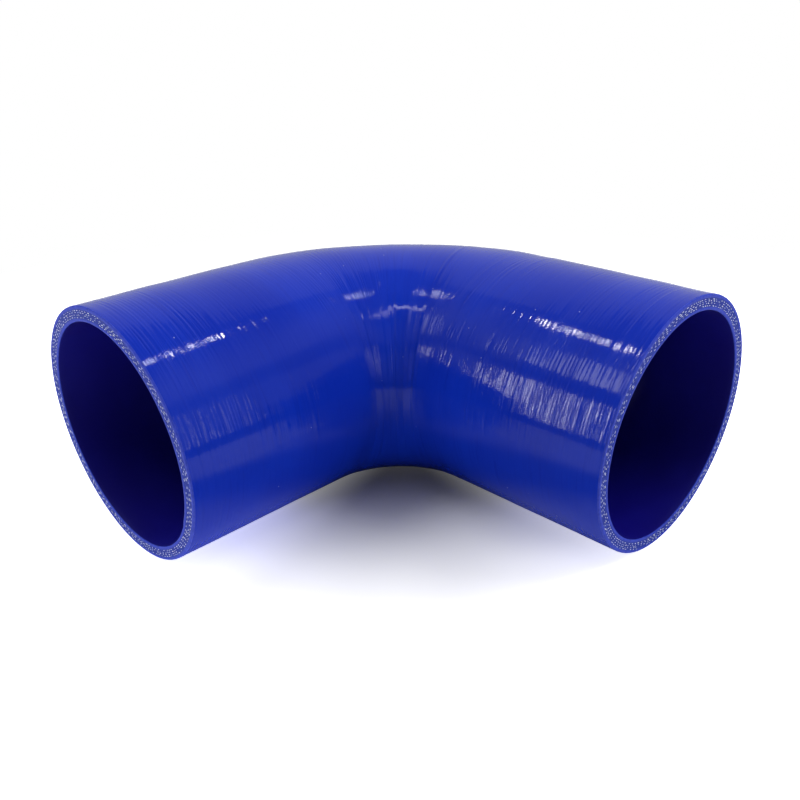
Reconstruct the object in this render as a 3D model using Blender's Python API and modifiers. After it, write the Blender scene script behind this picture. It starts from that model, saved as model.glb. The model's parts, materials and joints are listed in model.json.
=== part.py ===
"""Silicone elbow hose: one wrapped and cured length of reinforced silicone hose with a right-angle bend.

Metres, +Z up. The hose lies on its side on z = 0, centred on the origin in plan.
Leg A runs to its mouth at +X, leg B to its mouth at -Y, and the bend lies between them at -X, +Y.
"""

import math

import bpy
from mathutils import Vector

# Driving dimensions
BORE_DIAMETER = 0.076
WALL = 0.005
LEG_LENGTH = 0.125  # from each cut end to the point where the two leg axes cross
CROOK_RADIUS = 0.013  # of the outer skin at the inside of the bend, seen from above
BEND_ANGLE = math.radians(90)
EDGE_ROUNDING = 0.0005  # of the four cut edges, two at each mouth

# Fineness of the surface
SECTION_RESOLUTION = 30  # gives 4 + 2 * 30 sides
BEND_STEPS = 20
EDGE_SEGMENTS = 2

# Sizes that follow from them
OUTER_RADIUS = BORE_DIAMETER / 2 + WALL
BEND_RADIUS = CROOK_RADIUS + OUTER_RADIUS  # of the centreline
HALF_FACET = math.pi / (4 + 2 * SECTION_RESOLUTION)  # turns a flat side, not a corner, to the floor
CORNER_RADIUS = OUTER_RADIUS / math.cos(HALF_FACET)  # so that the flat sides touch the true circle

# Finish, as linear colour
SILICONE_BLUE = (0.012, 0.035, 0.42, 1.0)
SILICONE_ROUGHNESS = 0.28

# Only cut edges turn by more than this, facets of the round surface by far less
CUT_EDGE_ANGLE = math.radians(50)


def clear_scene():
    for obj in list(bpy.data.objects):
        bpy.data.objects.remove(obj)


def new_collection(name):
    collection = bpy.data.collections.new(name)
    bpy.context.scene.collection.children.link(collection)
    return collection


def silicone():
    material = bpy.data.materials.new("blue_silicone")
    material.use_nodes = True
    shader = material.node_tree.nodes["Principled BSDF"]
    shader.inputs["Base Color"].default_value = SILICONE_BLUE
    shader.inputs["Roughness"].default_value = SILICONE_ROUGHNESS
    shader.inputs["Metallic"].default_value = 0.0
    return material


def centreline():
    """Points from mouth B through the bend to mouth A, with the leg axes crossing at the origin."""
    towards_bend = Vector((math.cos(BEND_ANGLE), math.sin(BEND_ANGLE), 0))
    tangent_length = BEND_RADIUS * math.tan(BEND_ANGLE / 2)
    bend_centre = Vector((tangent_length, -BEND_RADIUS, 0))
    points = [-LEG_LENGTH * towards_bend]
    for step in range(BEND_STEPS + 1):
        heading = BEND_ANGLE * (1 - step / BEND_STEPS)
        outward = Vector((-math.sin(heading), math.cos(heading), 0))
        points.append(bend_centre + BEND_RADIUS * outward)
    points.append(Vector((LEG_LENGTH, 0, 0)))
    return points


def tube_curve(name, points):
    """An open round tube of the outer size along the points."""
    curve = bpy.data.curves.new(name, "CURVE")
    curve.dimensions = "3D"
    curve.bevel_depth = CORNER_RADIUS
    curve.bevel_resolution = SECTION_RESOLUTION
    curve.use_fill_caps = False
    curve.render_resolution_u = 0
    spline = curve.splines.new("POLY")
    spline.points.add(len(points) - 1)
    for spline_point, point in zip(spline.points, points):
        spline_point.co = (*point, 1)
        spline_point.tilt = HALF_FACET
    spline.use_smooth = True
    return curve


def give_wall(obj):
    """The wall grows inwards from the outer skin, and a flat cut face closes it at each mouth."""
    solidify = obj.modifiers.new("wall", "SOLIDIFY")
    solidify.thickness = WALL
    solidify.offset = -1
    solidify.use_rim = True
    solidify.use_even_offset = True


def round_cut_edges(obj):
    bevel = obj.modifiers.new("cut_edges", "BEVEL")
    bevel.limit_method = "ANGLE"
    bevel.angle_limit = CUT_EDGE_ANGLE
    bevel.width = EDGE_ROUNDING
    bevel.segments = EDGE_SEGMENTS
    bevel.harden_normals = True


def lay_on_floor(obj):
    """Moves the object so that the box around it stands on z = 0, centred on the origin."""
    bpy.context.view_layer.update()
    evaluated = obj.evaluated_get(bpy.context.evaluated_depsgraph_get())
    mesh = evaluated.to_mesh()
    corners = [vertex.co.copy() for vertex in mesh.vertices]
    evaluated.to_mesh_clear()
    low = Vector(min(corner[axis] for corner in corners) for axis in range(3))
    high = Vector(max(corner[axis] for corner in corners) for axis in range(3))
    middle = (low + high) / 2
    obj.location = (-middle.x, -middle.y, -low.z)


def build_elbow_hose(collection):
    curve = tube_curve("elbow_hose", centreline())
    curve.materials.append(silicone())
    hose = bpy.data.objects.new("elbow_hose", curve)
    collection.objects.link(hose)
    give_wall(hose)
    round_cut_edges(hose)
    lay_on_floor(hose)
    return hose


clear_scene()
build_elbow_hose(new_collection("silicone_elbow_hose"))
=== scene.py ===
"""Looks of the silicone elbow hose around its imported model: the hose, its floor, its light and the camera."""

import json
import math

import bpy
import numpy as np
from mathutils import Matrix, Vector


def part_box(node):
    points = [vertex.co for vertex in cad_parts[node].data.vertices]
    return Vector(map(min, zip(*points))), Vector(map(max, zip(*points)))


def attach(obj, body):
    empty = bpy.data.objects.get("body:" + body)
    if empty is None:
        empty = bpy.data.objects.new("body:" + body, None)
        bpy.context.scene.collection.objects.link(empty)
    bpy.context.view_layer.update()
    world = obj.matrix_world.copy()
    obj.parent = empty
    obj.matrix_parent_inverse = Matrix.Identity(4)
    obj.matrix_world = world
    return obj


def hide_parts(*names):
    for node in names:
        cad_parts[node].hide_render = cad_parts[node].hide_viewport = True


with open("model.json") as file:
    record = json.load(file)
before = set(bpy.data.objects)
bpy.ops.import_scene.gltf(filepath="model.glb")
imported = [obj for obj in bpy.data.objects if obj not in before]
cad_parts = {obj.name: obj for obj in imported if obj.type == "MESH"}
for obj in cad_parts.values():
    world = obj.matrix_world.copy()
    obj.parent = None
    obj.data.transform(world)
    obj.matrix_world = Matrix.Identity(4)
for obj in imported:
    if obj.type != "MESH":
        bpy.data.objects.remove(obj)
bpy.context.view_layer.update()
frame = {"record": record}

MM = 0.001
NODE = "elbow_hose"
SEED = 76
UP = np.array([0.0, 0.0, 1.0])

# Sizes taken from the frame. The hose runs from mouth B through the bend to mouth A.
low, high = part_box(NODE)
mounts = {mount["name"]: mount for mount in frame["record"]["mounts"]}
END_A = Vector(mounts["end_a"]["pos_m"])
END_B = Vector(mounts["end_b"]["pos_m"])
OUTER_RADIUS = (high.z - low.z) / 2
AXIS_HEIGHT = low.z + OUTER_RADIUS
WALL = 2 * (AXIS_HEIGHT + OUTER_RADIUS - END_A.z)
BORE_RADIUS = OUTER_RADIUS - WALL
AXES_CROSS = Vector((END_B.x, END_A.y, AXIS_HEIGHT))
LEG_LENGTH = high.x - AXES_CROSS.x
CROOK_RADIUS = 0.013  # of the skin at the inside of the bend, as in the part's own source
BEND_RADIUS = CROOK_RADIUS + OUTER_RADIUS
STRAIGHT = LEG_LENGTH - BEND_RADIUS
BEND_LENGTH = BEND_RADIUS * math.pi / 2
LENGTH = 2 * STRAIGHT + BEND_LENGTH

# Fineness of the hose's mesh
SIDES = 88  # points round each ring
SKIN_RINGS = 840
LINER_RINGS = 110
CUT_RINGS = 18
EDGE_RINGS = 4
OUTER_EDGE = 0.45 * MM
INNER_EDGE = 0.3 * MM

# How much lower than a true circle the soft section lies, as a share of its height
BEND_SAG = 0.0202
MOUTH_A_SAG = 0.0044
MOUTH_B_SAG = 0.0076

# The relief of the skin stays under its true circle: how far its middle lies below, and how softly it is held
SKIN_DEPTH = 0.09 * MM
SKIN_SOFTNESS = 0.02 * MM

# Heights in the relief: fine and broader hoop lines, slow unevenness, and what the crook adds to both
LINE_HEIGHT = 0.019 * MM
RIPPLE_HEIGHT = 0.006 * MM
CROOK_RIPPLE = 0.024 * MM
SWAY_HEIGHT = 0.024 * MM
CROOK_SWAY = 0.016 * MM

# How rough the skin is, by the distance in mm from mouth B: most at the mouths and on both sides of the bend
ROUGH_PLACES = [0, 20, 27, 42, 70, 78, 89, 98, 130, 138, 160, 166, 190, 197, 226]
ROUGH_LEVELS = [1.0, 0.95, 0.35, 0.25, 0.3, 1.0, 0.9, 0.5, 0.5, 1.05, 1.0, 0.35, 0.35, 0.7, 0.8]
CALM_LEVEL = 0.75  # of the roughness in its calmest patches
CALM_RISE = 0.35
SMOOTH_SCRATCHES = 0.45  # height of a scratch on smooth skin, as a share of its height on rough skin

# Edges of the wrapping tape: how many, the mm from one to the next, the first, their height and their slope
TAPE_EDGES = 40
TAPE_SPACING = (5, 13)
TAPE_START = -15 * MM
TAPE_LEVEL = 0.030 * MM
TAPE_SLOPE = 1.5 * MM
TAPE_WAVE = 0.5 * MM
TAPE_CHANGE = 40 * MM  # along the hose, over which one set of facets gives way to another

# Scratches: width and sideways drift in mm, the spread of their height, and their reach as a share of a turn
SCRATCHES = 1100
SCRATCH_WIDTH = (0.38, 0.60)
SCRATCH_HEIGHT = 0.014 * MM
SCRATCH_SPREAD = 0.85
SCRATCH_REACH = (0.03, 0.14)
SCRATCH_DRIFT = 1.2
SCRATCH_WINDOW = 3 * MM  # along the hose on both sides, past which a scratch has faded out

# Creases in the crook: place from the middle as a share of the bend's length, width and depth in mm, and
# middle and reach round the section in degrees
CREASES = 16
CREASE_PLACE = (-0.40, 0.40)
CREASE_WIDTH = (0.9, 2.4)
CREASE_DEPTH = (0.04, 0.13)
CREASE_MIDDLE = (-20, 45)
CREASE_REACH = (25, 60)

# The overlap of the liner, which shows as a low step in bore B
OVERLAP_ANGLE = math.radians(-27)
OVERLAP_HEIGHT = 0.35 * MM
OVERLAP_STEP = (-0.02, 0.03)  # radians over which it rises
OVERLAP_FADE = (0.05, 0.75)  # radians over which it falls again
OVERLAP_END = 10 * MM  # along the hose, over which it ends in the bend

# Four woven plies in the wall, by their depth from the bore, and the band round them that lies lower
PLY_DEPTHS = [1.35 * MM, 2.05 * MM, 2.75 * MM, 3.45 * MM]
PLY_RECESS = 0.09 * MM
PLY_MARGIN = 0.25 * MM
PLY_BANK = 0.55 * MM

# The cut yarn ends that show in the plies: sizes, how each size varies, and how the rows wander in mm
YARN_LENGTH = 1.05 * MM
YARN_GAP = 0.85 * MM
YARN_WIDTH = 0.28 * MM
YARN_HEIGHT = 0.10 * MM
YARN_SUNK = 0.012 * MM
YARN_LENGTHS = (0.55, 1.35)
YARN_GAPS = (0.4, 1.8)
YARN_WIDTHS = (0.65, 1.15)
YARN_HEIGHTS = (0.55, 0.95)
YARN_TILT = 0.12
YARN_WAVES = (0.07, 0.04)
YARN_STRAY = 0.045
YARNS_MISSING = 0.10
YARN_TONES = (2.6, 1.1)

# A yarn end of unit length and width: its outline, the two ends of its raised ridge, and its faces
YARN_OUTLINE = np.array([(-1, 0), (-0.45, -1), (0.45, -1), (1, 0), (0.45, 1), (-0.45, 1)]) / 2
YARN_RIDGE = np.array([(-0.42, 0), (0.42, 0)]) / 2
YARN_FACES = [(0, 1, 6), (1, 2, 7, 6), (2, 3, 7), (3, 4, 7), (4, 5, 6, 7), (5, 0, 6), (5, 4, 3, 2, 1, 0)]

# Regions of the hose, which are its material slots too, and their strips on the unit square for baking
SKIN, CUT, LINER = range(3)
LONG_STRIPS = {SKIN: (0.0, 0.62), LINER: (0.63, 0.87)}
CUT_A_STRIP = 0.88
CUT_B_STRIP = 0.94
CUT_STRIP_WIDTH = 0.04

# Camera, as the photograph was taken
CAMERA_TARGET = Vector((0.0400, -0.0365, 0.0430))
CAMERA_DISTANCE = 0.2339
CAMERA_AZIMUTH = math.radians(45.55)
CAMERA_ELEVATION = math.radians(30.235)
CAMERA_ROLL = math.radians(-1.168)
SENSOR_WIDTH = 36
LENS = 36.18
SHIFT = (-0.0046, 0.0886)

# Points on the hose that the lamps face
LEG_A_TOP = (0.060, 0.020, 0.083)
LEG_A_FRONT = (0.055, -0.002, 0.040)
LEG_B_TOP = (-0.028, -0.060, 0.083)
LEG_B_SIDE = (0.002, -0.055, 0.040)
BEND_TOP = (-0.010, 0.010, 0.085)
CROOK_TOP = (0.004, -0.004, 0.060)
MIDDLE = (0, 0, AXIS_HEIGHT)

# Lamps: the point faced, azimuth and elevation in degrees, distance, width and height in metres, and radiance
MIRRORED_LAMPS = {
    "left_softbox": (LEG_A_TOP, 289, 58.8, 0.9, 0.105, 0.022, 72),
    "right_softbox": (LEG_B_TOP, 158.5, 62.2, 0.9, 0.085, 0.017, 78),
    "front_strip": (BEND_TOP, 33, 73, 1.2, 1.2, 0.05, 8.0),
    "left_panel": (LEG_A_FRONT, 314, 41, 1.2, 0.19, 0.47, 0.22),
    "high_window": (CROOK_TOP, 328, 46, 1.2, 0.20, 0.36, 3.2),
    "window": (LEG_A_FRONT, 326.5, 8, 1.2, 0.052, 0.76, 14.5),
    "side_window": (LEG_A_FRONT, 333.2, 8, 1.2, 0.022, 0.76, 6),
    "right_window": (CROOK_TOP, 94, 18, 1.2, 0.06, 0.60, 5),
    "right_edge": (LEG_B_SIDE, 111.5, 14, 1.2, 0.024, 0.60, 5),
}
KEY_LAMPS = {
    "left_key": (MIDDLE, 312, 54, 1.2, 0.8, 0.7, 3.8),
    "right_key": (MIDDLE, 138, 45, 1.2, 0.8, 0.7, 5.45),
}
RADIANCE_TO_POWER = math.pi

# The floor: half its side, and the distances from the origin between which the camera's floor turns white
FLOOR_REACH = 6.0
FLOOR_GAP = 0.02 * MM
WHITE_FROM = 0.20
WHITE_BEYOND = 0.42

# Lifts of the camera's floor, painted light that glows to lighten its shadow: the metres at which each one
# starts and is whole, and how much it adds
SHADOW_MIDDLE = 0.002  # to the camera's right of the origin
SHADOW_BACK = 0.01  # behind the origin, away from the camera
SHADOW_SPREAD = 0.5  # how much wider the shadow is for each metre towards the camera
FRONT_LIFT = (0.0, 0.065, 0.25)
FAR_LIFT = (0.065, 0.085, 0.12)
OUTER_LIFT = (0.015, 0.075, 0.75)
FLANK_LIFT = (0.01, 0.045, 0.17)
FLANK_START = 0.025
FLANK_END = 0.050

# The floor as it lights the hose: grey in the crook as painted shade and paler aside, with painted light beside
# each leg, a glow that stands for light returned from the floor
FLOOR_PAINTED_SHADE_IN_CROOK = (0.32, 0.32, 0.32, 1)
FLOOR_ASIDE = (0.80, 0.80, 0.80, 1)
CROOK_SIDE = (0.015, 0.075)
GLOW_BESIDE_A = {"X": (0.020, 0.045, 1.0), "Y": (-0.045, -0.015, 0.42)}
GLOW_BESIDE_B = {"Y": (-0.020, -0.045, 1.0), "X": (0.060, 0.015, 1.05)}

# The floor as the skin mirrors it: dark in the crook as painted shade, paler beside it, dark past the table,
# pale behind
MIRROR_PAINTED_SHADE_IN_CROOK = (0.09, 0.09, 0.10, 1)
MIRROR_ASIDE = (0.55, 0.55, 0.56, 1)
MIRROR_PAST_TABLE = (0.04, 0.04, 0.04, 1)
MIRROR_BEHIND = (0.80, 0.80, 0.81, 1)
MIRROR_SIDE = (0.012, 0.045)
MIRROR_BACK = (0.0, 0.10)
TABLE_REACH = 0.36
TABLE_EDGE = (0.9 * TABLE_REACH, TABLE_REACH)

# The studio that the skin mirrors, as (elevation in degrees, grey): the room in front and the backdrop behind
ROOM = [
    (0, 0.25),
    (6, 0.22),
    (8, 0.32),
    (25, 0.31),
    (27, 0.10),
    (35, 0.11),
    (37, 0.34),
    (49, 0.32),
    (51, 0.23),
    (60, 0.14),
]
BACKDROP = [(0, 0.50), (25, 0.53), (50, 0.50), (57.5, 0.42), (60, 0.15)]
BACKDROP_OUTSIDE = math.cos(math.radians(43))
BACKDROP_INSIDE = math.cos(math.radians(37))
CAMERA_SIDE = (0.70, 0.96)  # where the room dims, by the cosine of the angle to the camera's side
CAMERA_SIDE_DIM = (0.30, 0.30, 0.30, 1)
PLAIN_FRONT = (0.22, 0.22, 0.22, 1)
PLAIN_BACK = (0.60, 0.60, 0.60, 1)
WHITE = (1, 1, 1, 1)


def smoothstep(x, start, end):
    t = np.clip((x - start) / (end - start), 0, 1)
    return t * t * (3 - 2 * t)


def turned_from(angle, centre):
    """The angle as seen from centre, between half a turn to each side."""
    return (angle - centre + math.pi) % (2 * math.pi) - math.pi


def centreline(s):
    """Points and crook-side directions at the lengths s from mouth B to mouth A."""
    s = np.asarray(s, float)
    turn = np.clip((s - STRAIGHT) / BEND_RADIUS, 0, math.pi / 2)
    tangent = np.stack([np.sin(turn), np.cos(turn), np.zeros_like(s)], -1)
    crook = np.stack([np.cos(turn), -np.sin(turn), np.zeros_like(s)], -1)
    centre = np.array([AXES_CROSS.x + BEND_RADIUS, AXES_CROSS.y - BEND_RADIUS, AXIS_HEIGHT])
    before = np.minimum(s - STRAIGHT, 0)
    after = np.maximum(s - STRAIGHT - BEND_LENGTH, 0)
    point = centre - BEND_RADIUS * crook + (before + after)[..., None] * tangent
    return point, crook


def settle(s):
    """Share by which the section lies lower than a true circle: most in the bend, a little at the mouths."""
    along = s - LENGTH / 2
    bend = np.exp(-((along / (BEND_LENGTH / 2)) ** 2))
    leg = np.clip((np.abs(along) - BEND_LENGTH / 2) / STRAIGHT, 0, 1)
    return BEND_SAG * bend + np.where(along < 0, MOUTH_B_SAG, MOUTH_A_SAG) * leg


def on_section(s, radius, angle):
    """Places in the settled section. Angle 0 faces the crook, and a quarter turn faces up."""
    point, crook = centreline(s)
    outward = np.cos(angle)[..., None] * crook + np.sin(angle)[..., None] * UP
    places = point + radius[..., None] * outward
    places[..., 2] = low.z + (places[..., 2] - low.z) * (1 - settle(s))
    return places


def stretch(s, angle):
    """Length on the skin for each unit of centreline length: 1 on the legs, least at the crook."""
    blend = 2 * MM
    bent = smoothstep(s, STRAIGHT - blend, STRAIGHT + blend)
    bent = bent * (1 - smoothstep(s, LENGTH - STRAIGHT - blend, LENGTH - STRAIGHT + blend))
    return 1 - bent * OUTER_RADIUS * np.cos(angle) / BEND_RADIUS


def field(rng, s, wave, spread, around):
    """Seeded relief of unit spread on a grid of s by angle: waves of this length, about so many in a turn."""
    cell = float(s[1, 0] - s[0, 0])
    noise = np.fft.fft2(rng.standard_normal(s.shape))
    along = np.abs(np.fft.fftfreq(s.shape[0], cell))[:, None]
    turns = np.abs(np.fft.fftfreq(s.shape[1], 1 / s.shape[1]))[None, :]
    pass_band = np.exp(-(np.log(np.maximum(along, 1e-9) * wave) ** 2) / (2 * spread**2))
    pass_band = pass_band * np.exp(-((turns / around) ** 2))
    relief = np.real(np.fft.ifft2(noise * pass_band))
    return relief / relief.std()


def tape_edges(rng, s, angle):
    """Shallow facets between the edges of the wrapping tape, which runs round the hose at a slight slope."""
    knots = np.cumsum(rng.uniform(*TAPE_SPACING, TAPE_EDGES)) * MM + TAPE_START
    levels = rng.normal(0, 1, len(knots)) * TAPE_LEVEL
    other = rng.normal(0, 1, len(knots)) * TAPE_LEVEL
    along = s + TAPE_SLOPE * np.sin(angle + 1.0) + TAPE_WAVE * np.sin(3 * angle)
    share = 0.5 + 0.5 * np.sin(2 * angle + s / TAPE_CHANGE)
    return share * np.interp(along, knots, levels) + (1 - share) * np.interp(along, knots, other)


def scratches(rng, s):
    """Sparse fine ridges and grooves that run part of the way round, where the tape's folds pressed."""
    relief = np.zeros_like(s)
    for _ in range(SCRATCHES):
        place = rng.uniform(0, LENGTH)
        width = rng.uniform(*SCRATCH_WIDTH) * MM
        height = rng.lognormal(math.log(SCRATCH_HEIGHT), SCRATCH_SPREAD) * rng.choice((-1, 1))
        start = int(rng.uniform(0, SIDES))
        count = int(SIDES * rng.uniform(*SCRATCH_REACH)) + 3
        columns = (start + np.arange(count)) % SIDES
        drift = rng.normal(0, SCRATCH_DRIFT) * MM * np.linspace(-0.5, 0.5, count)
        taper = np.sin(np.linspace(0.25, math.pi - 0.25, count))
        first = max(int((place - SCRATCH_WINDOW) / LENGTH * SKIN_RINGS), 0)
        rings = slice(first, first + int(2 * SCRATCH_WINDOW / LENGTH * SKIN_RINGS))
        off_line = (s[rings][:, columns] - place - drift) / width
        relief[rings, columns] += height * taper * np.exp(-(off_line**2))
    return relief


def creases(rng, s, angle):
    """Soft grooves that run across the crook, where the plies were bent together."""
    relief = np.zeros_like(s)
    for _ in range(CREASES):
        place = LENGTH / 2 + rng.uniform(*CREASE_PLACE) * BEND_LENGTH
        width = rng.uniform(*CREASE_WIDTH) * MM
        depth = rng.uniform(*CREASE_DEPTH) * MM
        centre = math.radians(rng.uniform(*CREASE_MIDDLE))
        reach = math.radians(rng.uniform(*CREASE_REACH))
        offset = turned_from(angle, centre)
        relief -= depth * np.exp(-(((s - place) / width) ** 2)) * np.exp(-((offset / reach) ** 4))
    return relief


def skin_relief(s, angle):
    """Height of the skin over its true circle: hoop lines left by the wrapping tape, and creases."""
    rng = np.random.default_rng(SEED)
    fine = field(rng, s, wave=1.45 * MM, spread=0.40, around=11)
    broad = field(rng, s, wave=4.5 * MM, spread=0.40, around=6)
    calm = field(rng, s, wave=22 * MM, spread=0.5, around=3)
    rough = np.interp(s / MM, ROUGH_PLACES, ROUGH_LEVELS)
    rough = rough * (CALM_LEVEL + CALM_RISE * smoothstep(calm, -0.9, 1.0))
    near_crook = np.clip(1 - stretch(s, angle), 0, 1)
    ripple = (RIPPLE_HEIGHT + CROOK_RIPPLE * near_crook) * broad
    height = rough * (LINE_HEIGHT * fine + ripple) * np.minimum(stretch(s, angle), 1)
    height += scratches(rng, s) * (SMOOTH_SCRATCHES + (1 - SMOOTH_SCRATCHES) * rough)
    height += SWAY_HEIGHT * field(rng, s, wave=30 * MM, spread=0.4, around=2)
    height += CROOK_SWAY * near_crook * field(rng, s, wave=9 * MM, spread=0.4, around=4)
    height += tape_edges(rng, s, angle)
    height += creases(rng, s, angle)
    return -SKIN_SOFTNESS * np.log1p(np.exp((SKIN_DEPTH - height) / SKIN_SOFTNESS))


def liner_relief(s, angle):
    """The liner's overlap stands a little into bore B, along one line from the mouth to the bend."""
    offset = turned_from(angle, OVERLAP_ANGLE)
    step = smoothstep(offset, *OVERLAP_STEP) * (1 - smoothstep(offset, *OVERLAP_FADE))
    return -OVERLAP_HEIGHT * step * smoothstep(LENGTH / 2 - s, 0, OVERLAP_END)


def recess(radius):
    """The plies in the wall end a little below the liner and the cover."""
    depth = radius - BORE_RADIUS
    past_liner = smoothstep(depth, PLY_DEPTHS[0] - PLY_BANK, PLY_DEPTHS[0] - PLY_MARGIN)
    past_plies = smoothstep(depth, PLY_DEPTHS[-1] + PLY_MARGIN, PLY_DEPTHS[-1] + PLY_BANK)
    return PLY_RECESS * float(past_liner * (1 - past_plies))


def mouth_rings():
    """Rings round one mouth, from the skin to the bore: (depth below the mouth's plane, radius)."""
    quarter = np.linspace(0, math.pi / 2, EDGE_RINGS + 1)
    rings = []
    for turn in quarter[1:]:
        rings.append((OUTER_EDGE * (1 - math.sin(turn)), OUTER_RADIUS - OUTER_EDGE * (1 - math.cos(turn))))
    for radius in np.linspace(OUTER_RADIUS - OUTER_EDGE, BORE_RADIUS + INNER_EDGE, CUT_RINGS)[1:-1]:
        rings.append((recess(radius), radius))
    for turn in quarter:
        rings.append((INNER_EDGE * (1 - math.cos(turn)), BORE_RADIUS + INNER_EDGE * (1 - math.sin(turn))))
    return rings


def profile():
    """Rings (place along the centreline, radius) once round the wall: skin, mouth A, bore and mouth B."""
    mouth = mouth_rings()
    skin = [(s, OUTER_RADIUS) for s in np.linspace(OUTER_EDGE, LENGTH - OUTER_EDGE, SKIN_RINGS)]
    mouth_a = [(LENGTH - depth, radius) for depth, radius in mouth]
    bore = [(s, BORE_RADIUS) for s in np.linspace(LENGTH - INNER_EDGE, INNER_EDGE, LINER_RINGS)[1:]]
    mouth_b = mouth[-2::-1]
    return skin, mouth_a, bore, mouth_b


def hose_relief(s, radius, angle, lengths):
    """Height of every ring's surface over its radius. The skin's relief fades out across each cut face."""
    stops = np.cumsum(lengths)
    skin, mouth_a, bore, mouth_b = (slice(stop - length, stop) for stop, length in zip(stops, lengths))
    share = (radius - BORE_RADIUS) / WALL
    height = np.zeros_like(s)
    height[skin] = skin_relief(s[skin], angle[skin])
    height[mouth_a] = height[skin][-1] * share[mouth_a]
    height[bore] = liner_relief(s[bore], angle[bore])
    height[mouth_b] = height[skin][0] * share[mouth_b]
    height[mouth_b] += liner_relief(s[mouth_b], angle[mouth_b]) * (1 - share[mouth_b]) ** 2
    return height


def hose_mesh():
    """The whole wall as one closed mesh: rings of SIDES points each, joined by quads."""
    parts = profile()
    lengths = [len(part) for part in parts]
    rings = np.concatenate(parts)
    count = len(rings)
    s = np.repeat(rings[:, :1], SIDES, 1)
    radius = np.repeat(rings[:, 1:], SIDES, 1)
    angle = np.repeat(np.linspace(0, 2 * math.pi, SIDES, endpoint=False)[None, :], count, 0)
    places = on_section(s, radius + hose_relief(s, radius, angle, lengths), angle)
    ring = np.arange(count)[:, None]
    side = np.arange(SIDES)[None, :]
    next_ring = (ring + 1) % count
    next_side = (side + 1) % SIDES
    faces = np.stack(
        [
            ring * SIDES + next_side,
            next_ring * SIDES + next_side,
            next_ring * SIDES + side,
            ring * SIDES + side,
        ],
        -1,
    )
    mesh = bpy.data.meshes.new("hose")
    mesh.from_pydata(places.reshape(-1, 3).tolist(), [], faces.reshape(-1, 4).tolist())
    mesh.shade_smooth()
    hoop = np.stack([s / MM, OUTER_RADIUS / MM * np.cos(angle), OUTER_RADIUS / MM * np.sin(angle)], -1)
    attribute = mesh.attributes.new("hoop", "FLOAT_VECTOR", "POINT")
    attribute.data.foreach_set("vector", hoop.reshape(-1).astype(np.float32))
    depth = mesh.attributes.new("depth", "FLOAT", "POINT")
    depth.data.foreach_set("value", ((radius - BORE_RADIUS) / MM).reshape(-1).astype(np.float32))
    slot = band_slots(lengths)
    mesh.polygons.foreach_set("material_index", slot.astype(np.int32))
    unwrap(mesh, rings, slot)
    mesh.update()
    return mesh


def band_slots(lengths):
    """Material slot of every quad: cut where it touches a cut ring, but for the band that enters the bore."""
    region = np.repeat([SKIN, CUT, LINER, CUT], lengths)
    following = np.roll(region, -1)
    slot = np.where((region == CUT) | (following == CUT), CUT, region)
    slot[(region == CUT) & (following == LINER)] = LINER
    return np.repeat(slot, SIDES)


def unwrap(mesh, rings, slot):
    """Skin, bore and the two cut rings as straight strips, for baking."""
    count = len(rings)
    s, radius = rings.T
    share = (radius - BORE_RADIUS) / WALL
    ring = np.repeat(np.arange(count), SIDES)
    side = np.tile(np.arange(SIDES), count)
    next_ring = (ring + 1) % count
    corner_ring = np.stack([ring, next_ring, next_ring, ring], -1)
    turn = np.stack([side + 1, side + 1, side, side], -1) / SIDES
    uv = np.zeros((len(ring), 4, 2))
    for region, (start, end) in LONG_STRIPS.items():
        pick = slot == region
        uv[pick, :, 0] = (s[corner_ring] / LENGTH)[pick]
        uv[pick, :, 1] = (start + (end - start) * turn)[pick]
    cut = slot == CUT
    at_a = cut & (s[ring] > LENGTH / 2)
    for pick, start in ((at_a, CUT_A_STRIP), (cut & ~at_a, CUT_B_STRIP)):
        uv[pick, :, 0] = turn[pick]
        uv[pick, :, 1] = (start + CUT_STRIP_WIDTH * share[corner_ring])[pick]
    layer = mesh.uv_layers.new(name="OFBake")
    layer.data.foreach_set("uv", uv.reshape(-1).astype(np.float32))


def yarn_end(rng, at_a, radius, middle, length):
    """The eight points of one cut yarn end, lying in a mouth's recess."""
    width = YARN_WIDTH * rng.uniform(*YARN_WIDTHS)
    tilt = rng.normal(0, YARN_TILT)
    lift = YARN_HEIGHT * rng.uniform(*YARN_HEIGHTS)
    dash = np.concatenate([YARN_OUTLINE, YARN_RIDGE]) * (length, width)
    spin = np.array([(math.cos(tilt), -math.sin(tilt)), (math.sin(tilt), math.cos(tilt))])
    dash = dash @ spin.T
    on_ridge = np.arange(len(dash)) >= len(YARN_OUTLINE)
    rise = np.where(on_ridge, lift, 0.0) - YARN_SUNK
    s = (LENGTH - PLY_RECESS + rise) if at_a else (PLY_RECESS - rise)
    return on_section(s, radius + dash[:, 1], middle + dash[:, 0] / radius)


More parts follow.
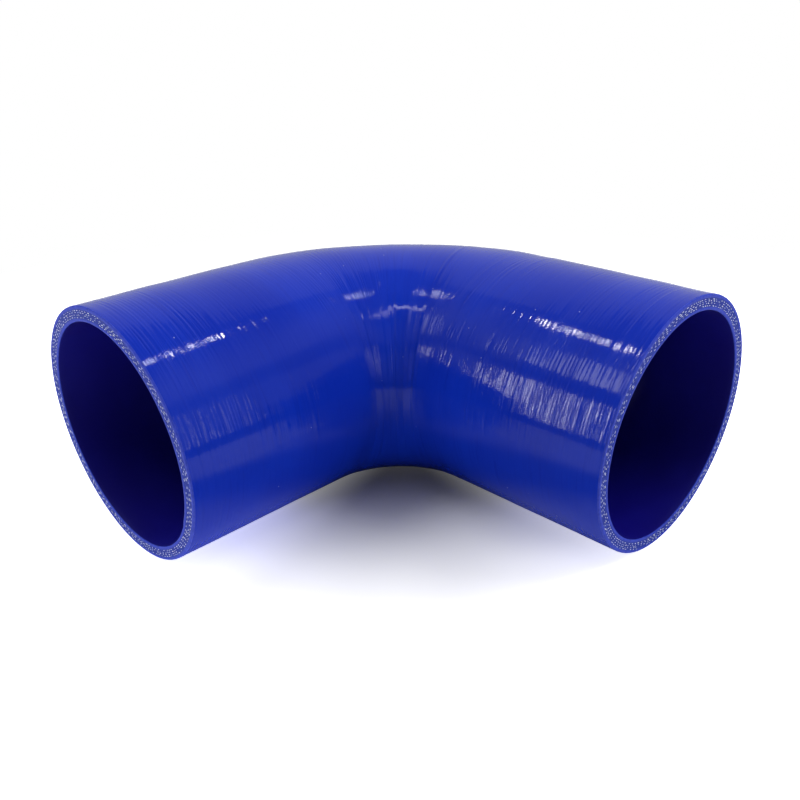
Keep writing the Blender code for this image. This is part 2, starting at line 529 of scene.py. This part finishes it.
def yarn_mesh():
    """The cut yarn ends: short rounded dashes in four wavy rows at each mouth."""
    rng = np.random.default_rng(SEED + 1)
    points, faces, tones = [], [], []
    for at_a in (True, False):
        turned = YARN_FACES if at_a else [face[::-1] for face in YARN_FACES]
        for ply in PLY_DEPTHS:
            phase = rng.uniform(0, 2 * math.pi, 3)
            turn = rng.uniform(0, 0.02)
            while turn < 2 * math.pi - YARN_LENGTH / OUTER_RADIUS:
                length = YARN_LENGTH * rng.uniform(*YARN_LENGTHS)
                wave = YARN_WAVES[0] * math.sin(3 * turn + phase[0])
                wave += YARN_WAVES[1] * math.sin(11 * turn + phase[1])
                radius = BORE_RADIUS + ply + (wave + rng.normal(0, YARN_STRAY)) * MM
                middle = turn + length / 2 / radius
                turn += (length + YARN_GAP * rng.uniform(*YARN_GAPS)) / radius
                if rng.random() < YARNS_MISSING:
                    continue
                first = len(points)
                dash = yarn_end(rng, at_a, radius, middle, length)
                points += dash.tolist()
                faces += [tuple(first + corner for corner in face) for face in turned]
                tones += [rng.beta(*YARN_TONES)] * len(dash)
    mesh = bpy.data.meshes.new("yarn_ends")
    mesh.from_pydata(points, [], faces)
    tone = mesh.attributes.new("tone", "FLOAT", "POINT")
    tone.data.foreach_set("value", np.array(tones, np.float32))
    mesh.update()
    return mesh


class Nodes:
    """Short calls for building one material's or world's nodes."""

    def __init__(self, owner):
        owner.use_nodes = True
        self.tree = owner.node_tree
        self.tree.nodes.clear()

    def put(self, socket, value):
        """Links an output to the socket, or sets the socket to a plain value."""
        if isinstance(value, bpy.types.NodeSocket):
            self.tree.links.new(value, socket)
        else:
            socket.default_value = value

    def add(self, kind, inputs=None, **settings):
        node = self.tree.nodes.new(kind)
        for name, value in settings.items():
            setattr(node, name, value)
        for name, value in (inputs or {}).items():
            self.put(node.inputs[name], value)
        return node

    def math(self, operation, *values):
        node = self.add("ShaderNodeMath", operation=operation)
        for place, value in enumerate(values):
            self.put(node.inputs[place], value)
        return node.outputs[0]

    def scaled(self, vector, scale):
        return self.add("ShaderNodeVectorMath", {0: vector, 1: scale}, operation="MULTIPLY").outputs[0]

    def along(self, place, direction):
        """How far the place lies along a direction."""
        inputs = {0: place, 1: tuple(direction)}
        return self.add("ShaderNodeVectorMath", inputs, operation="DOT_PRODUCT").outputs["Value"]

    def noise(self, vector, detail=2.0, roughness=0.5):
        return self.add(
            "ShaderNodeTexNoise",
            {"Vector": vector, "Scale": 1.0, "Detail": detail, "Roughness": roughness},
        ).outputs["Fac"]

    def range(self, value, start, end, high=1.0, smooth=True):
        """Grows from 0 to high while the value goes from start to end."""
        return self.add(
            "ShaderNodeMapRange",
            {"Value": value, "From Min": start, "From Max": end, "To Min": 0.0, "To Max": high},
            interpolation_type="SMOOTHSTEP" if smooth else "LINEAR",
        ).outputs["Result"]

    def mix(self, factor, first, second):
        node = self.add("ShaderNodeMix", data_type="RGBA")
        for name, value in (("Factor_Float", factor), ("A_Color", first), ("B_Color", second)):
            self.put(next(x for x in node.inputs if x.identifier == name), value)
        return next(x for x in node.outputs if x.identifier == "Result_Color")

    def attribute(self, name, output):
        return self.add("ShaderNodeAttribute", attribute_name=name).outputs[output]

    def emission(self, strength):
        return self.add("ShaderNodeEmission", {"Color": WHITE, "Strength": strength}).outputs[0]

    def diffuse(self, colour):
        return self.add("ShaderNodeBsdfDiffuse", {"Color": colour}).outputs[0]

    def both(self, first, second):
        return self.add("ShaderNodeAddShader", {0: first, 1: second}).outputs[0]

    def either(self, factor, first, second):
        return self.add("ShaderNodeMixShader", {0: factor, 1: first, 2: second}).outputs[0]

    def bump(self, height, strength, distance):
        inputs = {"Height": height, "Strength": strength, "Distance": distance}
        return self.add("ShaderNodeBump", inputs).outputs[0]

    def principled(self, inputs):
        shader = self.add("ShaderNodeBsdfPrincipled", inputs)
        self.add("ShaderNodeOutputMaterial", {"Surface": shader.outputs[0]})


def skin_material():
    """Glossy blue cover: clouds of colour, fine hoop lines in bump with painted shade along them, and a few
    pale specks.
    """
    material = bpy.data.materials.new("hose_skin")
    n = Nodes(material)
    hoop = n.attribute("hoop", "Vector")
    lines = n.noise(n.scaled(hoop, (1.1, 0.045, 0.045)), 2.5, 0.6)
    ridges = n.range(n.noise(n.scaled(hoop, (1.7, 0.05, 0.05)), 0.0), 0.62, 0.76)
    wide = n.noise(n.scaled(hoop, (0.6, 0.02, 0.02)), 2.0)
    patches = n.range(n.noise(n.scaled(hoop, (0.05, 0.04, 0.04)), 1.0), 0.42, 0.62)
    cloud = n.noise(n.scaled(hoop, (0.03, 0.02, 0.02)), 2.0)
    deep = (0.0036, 0.0225, 0.390, 1)
    bright = (0.0044, 0.0290, 0.450, 1)
    painted_line_shade = (0.0030, 0.0170, 0.33, 1)
    pale = (0.32, 0.38, 0.70, 1)
    colour = n.mix(n.range(cloud, 0.3, 0.7), deep, bright)
    # painted shade: the colour darkens along the fine hoop lines, standing for how they shade
    colour = n.mix(n.math("MULTIPLY", n.range(lines, 0.5, 0.8), 0.50), colour, painted_line_shade)
    cells = n.add("ShaderNodeTexVoronoi", {"Vector": hoop, "Scale": 0.22}, feature="F1")
    chance = n.add("ShaderNodeSeparateColor", {"Color": cells.outputs["Color"]}).outputs[0]
    speck = n.math("MULTIPLY", n.range(chance, 0.72, 0.74), n.range(cells.outputs["Distance"], 0.055, 0.030))
    colour = n.mix(n.math("MULTIPLY", speck, 0.75), colour, pale)
    roughness = n.math("ADD", 0.06, n.math("MULTIPLY", patches, 0.03))
    roughness = n.math("ADD", roughness, n.math("MULTIPLY", n.range(wide, 0.4, 0.75), 0.03))
    amount = n.math("ADD", 0.4, n.math("MULTIPLY", patches, 0.6))
    height = n.math("MULTIPLY", n.math("ADD", lines, n.math("MULTIPLY", ridges, 0.35)), amount)
    height = n.math("ADD", height, n.math("MULTIPLY", speck, 0.6))
    normal = n.bump(height, 1.0, 0.065 * MM)
    n.principled({"Base Color": colour, "Roughness": roughness, "IOR": 1.41, "Normal": normal})
    return material


def cut_material():
    """Matt cut face: paler liner and cover with slice marks, and a darker grainy core between them."""
    material = bpy.data.materials.new("cut_rubber")
    n = Nodes(material)
    hoop = n.attribute("hoop", "Vector")
    depth = n.attribute("depth", "Fac")
    grain = n.noise(n.scaled(hoop, (3.0, 3.0, 3.0)), 3.0, 0.7)
    slice_marks = n.noise(n.scaled(hoop, (0.9, 0.9, 0.9)), 2.0)
    core = n.math("MULTIPLY", n.range(depth, 0.85, 1.15), n.range(depth, 4.05, 3.65))
    plain = n.mix(n.range(slice_marks, 0.3, 0.7), (0.022, 0.044, 0.43, 1), (0.034, 0.062, 0.52, 1))
    ply = n.mix(n.range(grain, 0.35, 0.70), (0.008, 0.022, 0.27, 1), (0.020, 0.048, 0.40, 1))
    colour = n.mix(core, plain, ply)
    height = n.math("ADD", n.math("MULTIPLY", grain, n.math("ADD", 0.3, core)), slice_marks)
    normal = n.bump(height, 0.6, 0.08 * MM)
    look = {"Base Color": colour, "Roughness": 0.60, "IOR": 1.41, "Specular IOR Level": 0.25}
    n.principled({**look, "Normal": normal})
    return material


def yarn_material():
    """Polyester yarn ends, from blue with rubber to bare white."""
    material = bpy.data.materials.new("yarn_ends")
    n = Nodes(material)
    place = n.add("ShaderNodeTexCoord").outputs["Object"]
    fibre = n.noise(n.scaled(place, (9000.0, 9000.0, 9000.0)), 2.0)
    colour = n.mix(n.attribute("tone", "Fac"), (0.22, 0.32, 0.85, 1), (0.92, 0.96, 1.0, 1))
    normal = n.bump(fibre, 0.5, 0.04 * MM)
    n.principled({"Base Color": colour, "Roughness": 0.45, "IOR": 1.5, "Normal": normal})
    return material


def liner_material():
    """Blue of the bore, darker and more violet than the cover partly as painted shade of the deep bore, and
    less glossy than the cover.
    """
    material = bpy.data.materials.new("hose_liner")
    n = Nodes(material)
    hoop = n.attribute("hoop", "Vector")
    cloud = n.noise(n.scaled(hoop, (0.05, 0.03, 0.03)), 2.0)
    grain = n.noise(n.scaled(hoop, (0.9, 0.9, 0.9)), 2.0)
    # painted shade: both blues are set darker and more violet than the cover's, partly standing for the shade
    # deep in the bore
    colour = n.mix(n.range(cloud, 0.3, 0.7), (0.0046, 0.0024, 0.160, 1), (0.0056, 0.0044, 0.195, 1))
    roughness = n.math("ADD", 0.40, n.math("MULTIPLY", cloud, 0.08))
    normal = n.bump(grain, 0.4, 0.03 * MM)
    look = {"Base Color": colour, "Roughness": roughness, "IOR": 1.41, "Specular IOR Level": 0.35}
    n.principled({**look, "Normal": normal})
    return material


def make_hose():
    hose = bpy.data.objects.new("hose", hose_mesh())
    bpy.context.scene.collection.objects.link(hose)
    for material in (skin_material(), cut_material(), liner_material()):
        hose.data.materials.append(material)
    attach(hose, "root")
    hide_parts(NODE)
    yarns = bpy.data.objects.new("yarn_ends", yarn_mesh())
    bpy.context.scene.collection.objects.link(yarns)
    yarns.data.materials.append(yarn_material())
    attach(yarns, "root")


def away(azimuth, elevation):
    """Unit vector from the object towards this azimuth and elevation. Azimuth 0 is at -Y, and 90 at +X."""
    flat = math.cos(elevation)
    return Vector((math.sin(azimuth) * flat, -math.cos(azimuth) * flat, math.sin(elevation)))


def make_camera():
    back = away(CAMERA_AZIMUTH, CAMERA_ELEVATION)
    level = Vector((math.cos(CAMERA_AZIMUTH), math.sin(CAMERA_AZIMUTH), 0))
    above = back.cross(level)
    right = math.cos(CAMERA_ROLL) * level + math.sin(CAMERA_ROLL) * above
    top = math.cos(CAMERA_ROLL) * above - math.sin(CAMERA_ROLL) * level
    data = bpy.data.cameras.new("camera")
    data.sensor_width = SENSOR_WIDTH
    data.lens = LENS
    data.shift_x, data.shift_y = SHIFT
    data.clip_start, data.clip_end = 0.01, 50
    camera = bpy.data.objects.new("camera", data)
    turn = Matrix((right, top, back)).transposed()
    camera.matrix_world = Matrix.Translation(CAMERA_TARGET + CAMERA_DISTANCE * back) @ turn.to_4x4()
    bpy.context.scene.collection.objects.link(camera)
    bpy.context.scene.camera = camera


def softbox(name, aim, azimuth, elevation, distance, width, height, radiance):
    """A rectangular lamp that faces the point aim from the azimuth and elevation given, in degrees."""
    data = bpy.data.lights.new(name, "AREA")
    data.shape = "RECTANGLE"
    data.size = width
    data.size_y = height
    data.energy = radiance * width * height * RADIANCE_TO_POWER
    lamp = bpy.data.objects.new(name, data)
    direction = away(math.radians(azimuth), math.radians(elevation))
    lamp.location = Vector(aim) + distance * direction
    lamp.rotation_mode = "QUATERNION"
    lamp.rotation_quaternion = direction.to_track_quat("Z", "Y")
    bpy.context.scene.collection.objects.link(lamp)
    return lamp


def make_lights():
    """The windows and softboxes only show as reflections, and the two keys only light the surface."""
    for name, lamp in MIRRORED_LAMPS.items():
        softbox(name, *lamp).visible_diffuse = False
    for name, lamp in KEY_LAMPS.items():
        softbox(name, *lamp).visible_glossy = False


def floor_seen(n, place, distance):
    """The floor for the camera: the hose's own shadow, lightened away from the crook by a painted glow, and
    white farther out.
    """
    right = n.along(place, (math.cos(CAMERA_AZIMUTH), math.sin(CAMERA_AZIMUTH), 0))
    toward = n.along(place, away(CAMERA_AZIMUTH, 0))
    off_middle = n.math("ABSOLUTE", n.math("SUBTRACT", right, SHADOW_MIDDLE))
    off_back = n.math("ABSOLUTE", n.math("ADD", toward, SHADOW_BACK))
    outside = n.math("SUBTRACT", off_middle, n.math("MULTIPLY", toward, SHADOW_SPREAD))
    # painted light: a glow set by place lightens the floor's shadow
    lift = n.math("ADD", n.range(off_back, *FRONT_LIFT), n.range(off_back, *FAR_LIFT))
    lift = n.math("ADD", lift, n.range(outside, *OUTER_LIFT))
    flank = n.math("MULTIPLY", n.range(off_middle, *FLANK_LIFT), n.range(toward, FLANK_START, FLANK_END))
    lift = n.math("ADD", lift, flank)
    painted_line_shade = n.both(n.diffuse(WHITE), n.emission(lift))
    return n.either(n.range(distance, WHITE_FROM, WHITE_BEYOND), painted_line_shade, n.emission(1.0))


def floor_lit(n, place, aside):
    """The floor as a source of light on the hose: painted shade in the crook and a painted glow beside each
    leg.
    """
    axes = n.add("ShaderNodeSeparateXYZ", {"Vector": place}).outputs
    # painted light: a glow beside each leg, though the floor is no lamp
    glows = []
    for strip in (GLOW_BESIDE_A, GLOW_BESIDE_B):
        glows.append(n.math("MULTIPLY", *(n.range(axes[axis], *law) for axis, law in strip.items())))
    # painted shade: the floor is greyer in the crook
    colour = n.mix(n.range(aside, *CROOK_SIDE), FLOOR_PAINTED_SHADE_IN_CROOK, FLOOR_ASIDE)
    return n.both(n.diffuse(colour), n.emission(n.math("ADD", *glows)))


def floor_mirrored(n, place, distance, aside):
    """The floor in the skin's reflections."""
    behind = n.along(place, away(CAMERA_AZIMUTH + math.pi, 0))
    # painted shade: the mirrored floor is darker in the crook
    near = n.mix(n.range(aside, *MIRROR_SIDE), MIRROR_PAINTED_SHADE_IN_CROOK, MIRROR_ASIDE)
    front = n.mix(n.range(distance, *TABLE_EDGE), near, MIRROR_PAST_TABLE)
    return n.diffuse(n.mix(n.range(behind, *MIRROR_BACK), front, MIRROR_BEHIND))


def floor_material():
    material = bpy.data.materials.new("floor")
    n = Nodes(material)
    path = n.add("ShaderNodeLightPath").outputs
    place = n.add("ShaderNodeTexCoord").outputs["Object"]
    distance = n.add("ShaderNodeVectorMath", {0: place}, operation="LENGTH").outputs["Value"]
    across = (math.cos(CAMERA_AZIMUTH), math.sin(CAMERA_AZIMUTH), 0)
    aside = n.math("ABSOLUTE", n.along(place, across))
    lit = floor_lit(n, place, aside)
    mirrored = floor_mirrored(n, place, distance, aside)
    unseen = n.either(path["Is Glossy Ray"], lit, mirrored)
    shader = n.either(path["Is Camera Ray"], unseen, floor_seen(n, place, distance))
    n.add("ShaderNodeOutputMaterial", {"Surface": shader})
    return material


def make_floor():
    mesh = bpy.data.meshes.new("floor")
    corners = [(x * FLOOR_REACH, y * FLOOR_REACH, 0) for x, y in ((-1, -1), (1, -1), (1, 1), (-1, 1))]
    mesh.from_pydata(corners, [], [(0, 1, 2, 3)])
    floor = bpy.data.objects.new("floor", mesh)
    floor.location = (0, 0, low.z - FLOOR_GAP)
    bpy.context.scene.collection.objects.link(floor)
    mesh.materials.append(floor_material())


def ramp(n, height, stops):
    """A grey curve over the height of a direction, through the stops (elevation in degrees, grey)."""
    node = n.add("ShaderNodeValToRGB", {"Fac": n.math("MAXIMUM", height, 0.0)})
    curve = node.color_ramp
    while len(curve.elements) < len(stops):
        curve.elements.new(0.5)
    for element, (elevation, grey) in zip(curve.elements, stops):
        element.position = math.sin(math.radians(elevation))
        element.color = (grey, grey, grey, 1)
    return node.outputs["Color"]


def make_world():
    """White to the camera. Reflections see a studio: a pale backdrop behind, a dimmer room in front."""
    world = bpy.data.worlds.new("studio")
    bpy.context.scene.world = world
    n = Nodes(world)
    direction = n.add("ShaderNodeTexCoord").outputs["Generated"]
    x, y, z = n.add("ShaderNodeSeparateXYZ", {"Vector": direction}).outputs
    behind = away(CAMERA_AZIMUTH + math.pi, 0)
    flat = n.math("SQRT", n.math("MAXIMUM", n.math("SUBTRACT", 1.0, n.math("MULTIPLY", z, z)), 1e-6))
    backward = n.math("ADD", n.math("MULTIPLY", x, behind.x), n.math("MULTIPLY", y, behind.y))
    backward = n.math("DIVIDE", backward, flat)
    dim = n.mix(n.range(n.math("MULTIPLY", backward, -1.0), *CAMERA_SIDE), WHITE, CAMERA_SIDE_DIM)
    room = n.scaled(ramp(n, z, ROOM), dim)
    backdrop = ramp(n, z, BACKDROP)
    mirrored = n.mix(n.range(backward, BACKDROP_OUTSIDE, BACKDROP_INSIDE), room, backdrop)
    plain = n.mix(n.range(backward, -1.0, 1.0, smooth=False), PLAIN_FRONT, PLAIN_BACK)
    path = n.add("ShaderNodeLightPath").outputs
    colour = n.mix(path["Is Glossy Ray"], plain, mirrored)
    colour = n.mix(n.math("MAXIMUM", path["Is Camera Ray"], path["Is Transmission Ray"]), colour, WHITE)
    background = n.add("ShaderNodeBackground", {"Color": colour, "Strength": 1.0})
    n.add("ShaderNodeOutputWorld", {"Surface": background.outputs[0]})


make_hose()
make_floor()
make_lights()
make_world()
make_camera()
bpy.context.scene.view_settings.view_transform = "Standard"
